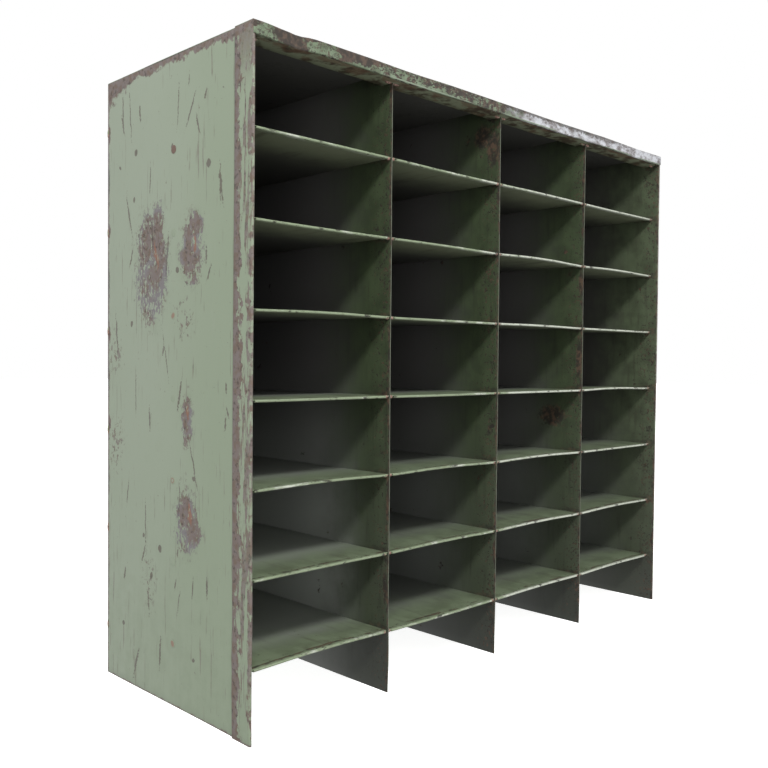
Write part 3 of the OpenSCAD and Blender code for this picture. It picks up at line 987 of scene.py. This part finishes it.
def makeTopPaint(look):
    paint = Finish("sagePaintTop")
    x, y, z = paint.x, paint.y, paint.z
    mottle = paint.noise(30, 4, 0.65)
    grain = paint.noise(3.5, 3, 0.6, seed=2)
    fine = paint.noise(7, 4, 0.65, seed=3)
    colour = paint.mix(mottle.rise(0.35, 0.7), look["green"], look["deepGreen"])
    front = y.rise(-200, -204)
    shaken = paint.warped(22, 5, 4)
    greenLeft = (paint.marks("xz", look["greenLeft"], shaken) + (fine - 0.5) * 0.8).rise(1.05, 0.9)
    bareLeft = (paint.marks("xz", look["bareLeft"], shaken) + (fine - 0.5) * 0.8).rise(1.1, 0.85)
    loss = paint.noise(9, 5, 0.74, (1.6, 1, 1), 5) + x.rise(-560, 60) * 0.04 + (z - 988).rise(-8, 10) * 0.07
    loss = loss.rise(0.5, 0.55)
    pocks = paint.noise(5, 4, 0.7, seed=23).rise(0.5, 0.57)
    loss = loss.most(bareLeft) * (1 - greenLeft * (1 - pocks * 0.8))
    loss = loss.most(pocks * greenLeft * 0.8)
    edgeLoss = y.rise(-190, -204) * paint.noise(20, 4, 0.7, seed=8).rise(0.4, 0.5)
    topLoss = paint.noise(48, 5, 0.7, seed=7).rise(0.57, 0.63).most(edgeLoss)
    worn = (loss * front).most(topLoss * z.rise(988, 992) * (1 - front))
    rust = paint.mix(paint.noise(8, 4, 0.6, seed=9).rise(0.36, 0.56), look["rust"], look["darkRust"])
    scratches = paint.noise(5, 4, 0.7, (2.5, 1, 1), 21).rise(0.58, 0.64) * x.rise(-350, -300) * front
    rust = paint.mix(scratches * 0.7, rust, look["pale"])
    tarnish = paint.noise(10, 5, 0.7, (2, 1, 1), 11).rise(0.4, 0.62)
    steel = paint.mix(tarnish, look["steel"], look["darkSteel"])
    silver = (x + (paint.noise(60, 3, seed=13) - 0.5) * 160).rise(-30, 70) * front
    topEdge = (z - 992 + (fine - 0.5) * 22 + x.rise(320, 480) * -9).rise(0, 3)
    metal = paint.mix(silver * (1 - topEdge * 0.75), rust, steel)
    worn = worn.most(silver * 0.95)
    colour = paint.mix(worn, colour, metal)
    # a pale line along the fascia's lower fold: a painted highlight
    crease = (z - look["creaseZ"]).size().rise(1.4, 0.6) * y.rise(-204, -205.5) * x.rise(-330, -280)
    colour = paint.mix(crease * paint.noise(30, 3, 0.6, (4, 1, 1), 15).rise(0.4, 0.5), colour, look["pale"])
    # under the lip: a paler green that is painted light from below, with real rust and stains; behind it, the
    # underside of the sheet in a flat grey of painted shade
    under = z.rise(982.6, 981) * y.rise(-205.5, -203)
    lipTone = paint.mix((paint.noise(26, 4, 0.65, seed=17)).rise(0.45, 0.6), look["lip"], look["rust"])
    stain = (paint.noise(40, 3, 0.6, seed=18) + y.rise(-185, -204) * 0.12).rise(0.56, 0.64)
    lipTone = paint.mix(stain * 0.6, lipTone, look["orange"])
    colour = paint.mix(under * 0.92, colour, lipTone)
    facing = paint.facingUp()
    sheetUnder = facing.rise(-0.3, -0.7) * y.rise(-203, -200) * z.rise(985, 990)
    colour = paint.mix(sheetUnder * (1 - under), colour, look["paintedHazeAndShade"])
    roughness = paint.between(worn, 0.5, 0.62) - silver * 0.2
    height = (1 - worn) * 0.5 + (grain - 0.5) * 0.2 + (mottle - 0.5) * 0.3
    return paint.shade(colour, roughness, height, 0.3, silver * 0.45)


weldPaint = {
    "brown": tone(112, 86, 74), "pink": tone(150, 122, 112),
    "dark": tone(58, 46, 42), "green": tone(108, 124, 96),
}


def makeWeldSteel(look):
    paint = Finish("weldedSteel")
    cloud = paint.noise(5, 4, 0.6)
    colour = paint.mix(cloud.rise(0.35, 0.6), look["brown"], look["pink"])
    colour = paint.mix(paint.noise(3.5, 3, 0.6, seed=4).rise(0.55, 0.65), colour, look["dark"])
    colour = paint.mix(paint.noise(14, 3, 0.6, seed=6).rise(0.52, 0.6) * 0.8, colour, look["green"])
    height = cloud * 0.6 + paint.noise(1.6, 2, seed=8) * 0.4
    return paint.shade(colour, paint.between(cloud, 0.55, 0.8), height, 0.4, 0.15)


tabPaint = {
    "green": tone(126, 137, 118), "brown": tone(98, 78, 68),
    "orange": tone(124, 94, 80), "pale": tone(130, 138, 122),
    # which rows' welds have a spot, and its half size
    "brownSpots": ([0], 8), "orangeSpots": ([2, 4, 6], 5), "palePatch": ([4], 3),
}


def makeTabPaint(look):
    # welds that were painted over, with the odd spot rubbed or rusted through
    paint = Finish("sagePaintWelds")
    cloud = paint.noise(6, 4, 0.6)
    edge = (cloud - 0.5) * 1.2

    def nearSpots(kind):
        rows, half = look[kind]
        spots = [(0, allTops[row] - weldShape["tabDrop"], half, half, 0) for row in rows]
        return paint.marks("yz", spots) + edge

    colour = paint.mix(nearSpots("orangeSpots").rise(1.1, 0.7) * 0.8, look["green"], look["orange"])
    colour = paint.mix(nearSpots("palePatch").rise(1.1, 0.7), colour, look["pale"])
    colour = paint.mix(nearSpots("brownSpots").rise(1.2, 0.9), colour, look["brown"])
    return paint.shade(colour, paint.between(cloud, 0.45, 0.7), cloud, 0.3)


def makeFloorFinish(glow):
    floorFinish = Finish("paleFloor")
    cloud = floorFinish.noise(900, 2)
    material = floorFinish.shade(floorFinish.mix(cloud, (0.86, 0.86, 0.86, 1), (0.9, 0.9, 0.9, 1)), 0.9)
    floorFinish.shader.inputs["Emission Color"].default_value = (1, 1, 1, 1)
    floorFinish.shader.inputs["Emission Strength"].default_value = glow
    floorFinish.shader.inputs["Specular IOR Level"].default_value = 0
    return material


def dress(piece, material, slotName, *nodes):
    piece.data.materials.clear()
    piece.data.materials.append(material)
    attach(piece, "root")
    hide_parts(*nodes)


def paintFaces(piece, material, test):
    # gives some of a piece's faces a finish of their own
    piece.data.materials.append(material)
    editPiece(piece)
    bpy.ops.mesh.select_mode(type="FACE")
    bpy.ops.mesh.select_all(action="DESELECT")
    mesh = bmesh.from_edit_mesh(piece.data)
    for face in mesh.faces:
        if test(face.normal, face.calc_center_median() / mm):
            face.select_set(True)
    bmesh.update_edit_mesh(piece.data)
    piece.active_material_index = 1
    bpy.ops.object.material_slot_assign()
    bpy.ops.object.mode_set(mode="OBJECT")


addCamera(cameraSetup)
addStudio(studio)
print("camera and light set")

sideFinish = makeSidePaint(sidePaint, "sagePaintLeft")
farSideFinish = makeSidePaint(farSidePaint, "sagePaintRight")
shadedInnerFinish = makeInnerPaint(shadedInnerPaint, "sagePaintInsideShaded", False)
shadedDividerFinish = makeInnerPaint(shadedDividerPaint, "sagePaintDividersShaded", True)
shelfFinish = makeShelfPaint(shelfPaint)
topFinish = makeTopPaint(topPaint)
weldFinish = makeWeldSteel(weldPaint)
tabFinish = makeTabPaint(tabPaint)
print("finishes made")

leftSide, rightSide = addSides(sideShape)
dress(leftSide, sideFinish, "side_paint", "left_side_panel")
dress(rightSide, farSideFinish, "side_paint", "right_side_panel")
# the inside faces take the darker paint: a painted shade
paintFaces(leftSide, shadedInnerFinish, lambda normal, p: normal.x > 0.7)
paintFaces(rightSide, shadedInnerFinish, lambda normal, p: normal.x < -0.7)
print("side panels made")

dress(addTop(topShape), topFinish, "top_paint", "top_panel")
backSheet = addBack(backShape)
dress(backSheet, makeBackPaint(backPaint), "inner_paint", "back_panel")
paintFaces(backSheet, shadedInnerFinish, lambda normal, p: normal.y < -0.7)
print("top and back made")

for index, piece in enumerate(addDividers(dividerShape)):
    dress(piece, shadedDividerFinish, "inner_paint", "divider_%d" % (index + 1))
for index, piece in enumerate(addShelves(shelfShape)):
    dress(piece, shelfFinish, "shelf_paint", "shelf_%d" % (index + 1))
print("dividers and shelves made")

for node, piece in addWelds(weldShape).items():
    dress(piece, tabFinish if "tab" in node else weldFinish, "weld_steel", node)
print("welds made")

leaveAll()
half = studio["floorSize"] / 2 / mm
floor = startPlate("studioFloor", (-half, -half, 0), (half, half, 0), 1)
bpy.ops.transform.translate(value=(0, 0, -0.0002))
bpy.ops.object.mode_set(mode="OBJECT")
floor.data.materials.append(makeFloorFinish(studio["floorGlow"]))
floor.visible_diffuse = False        # seen and shadowed, but it doesn't light the rack
floor.visible_glossy = False
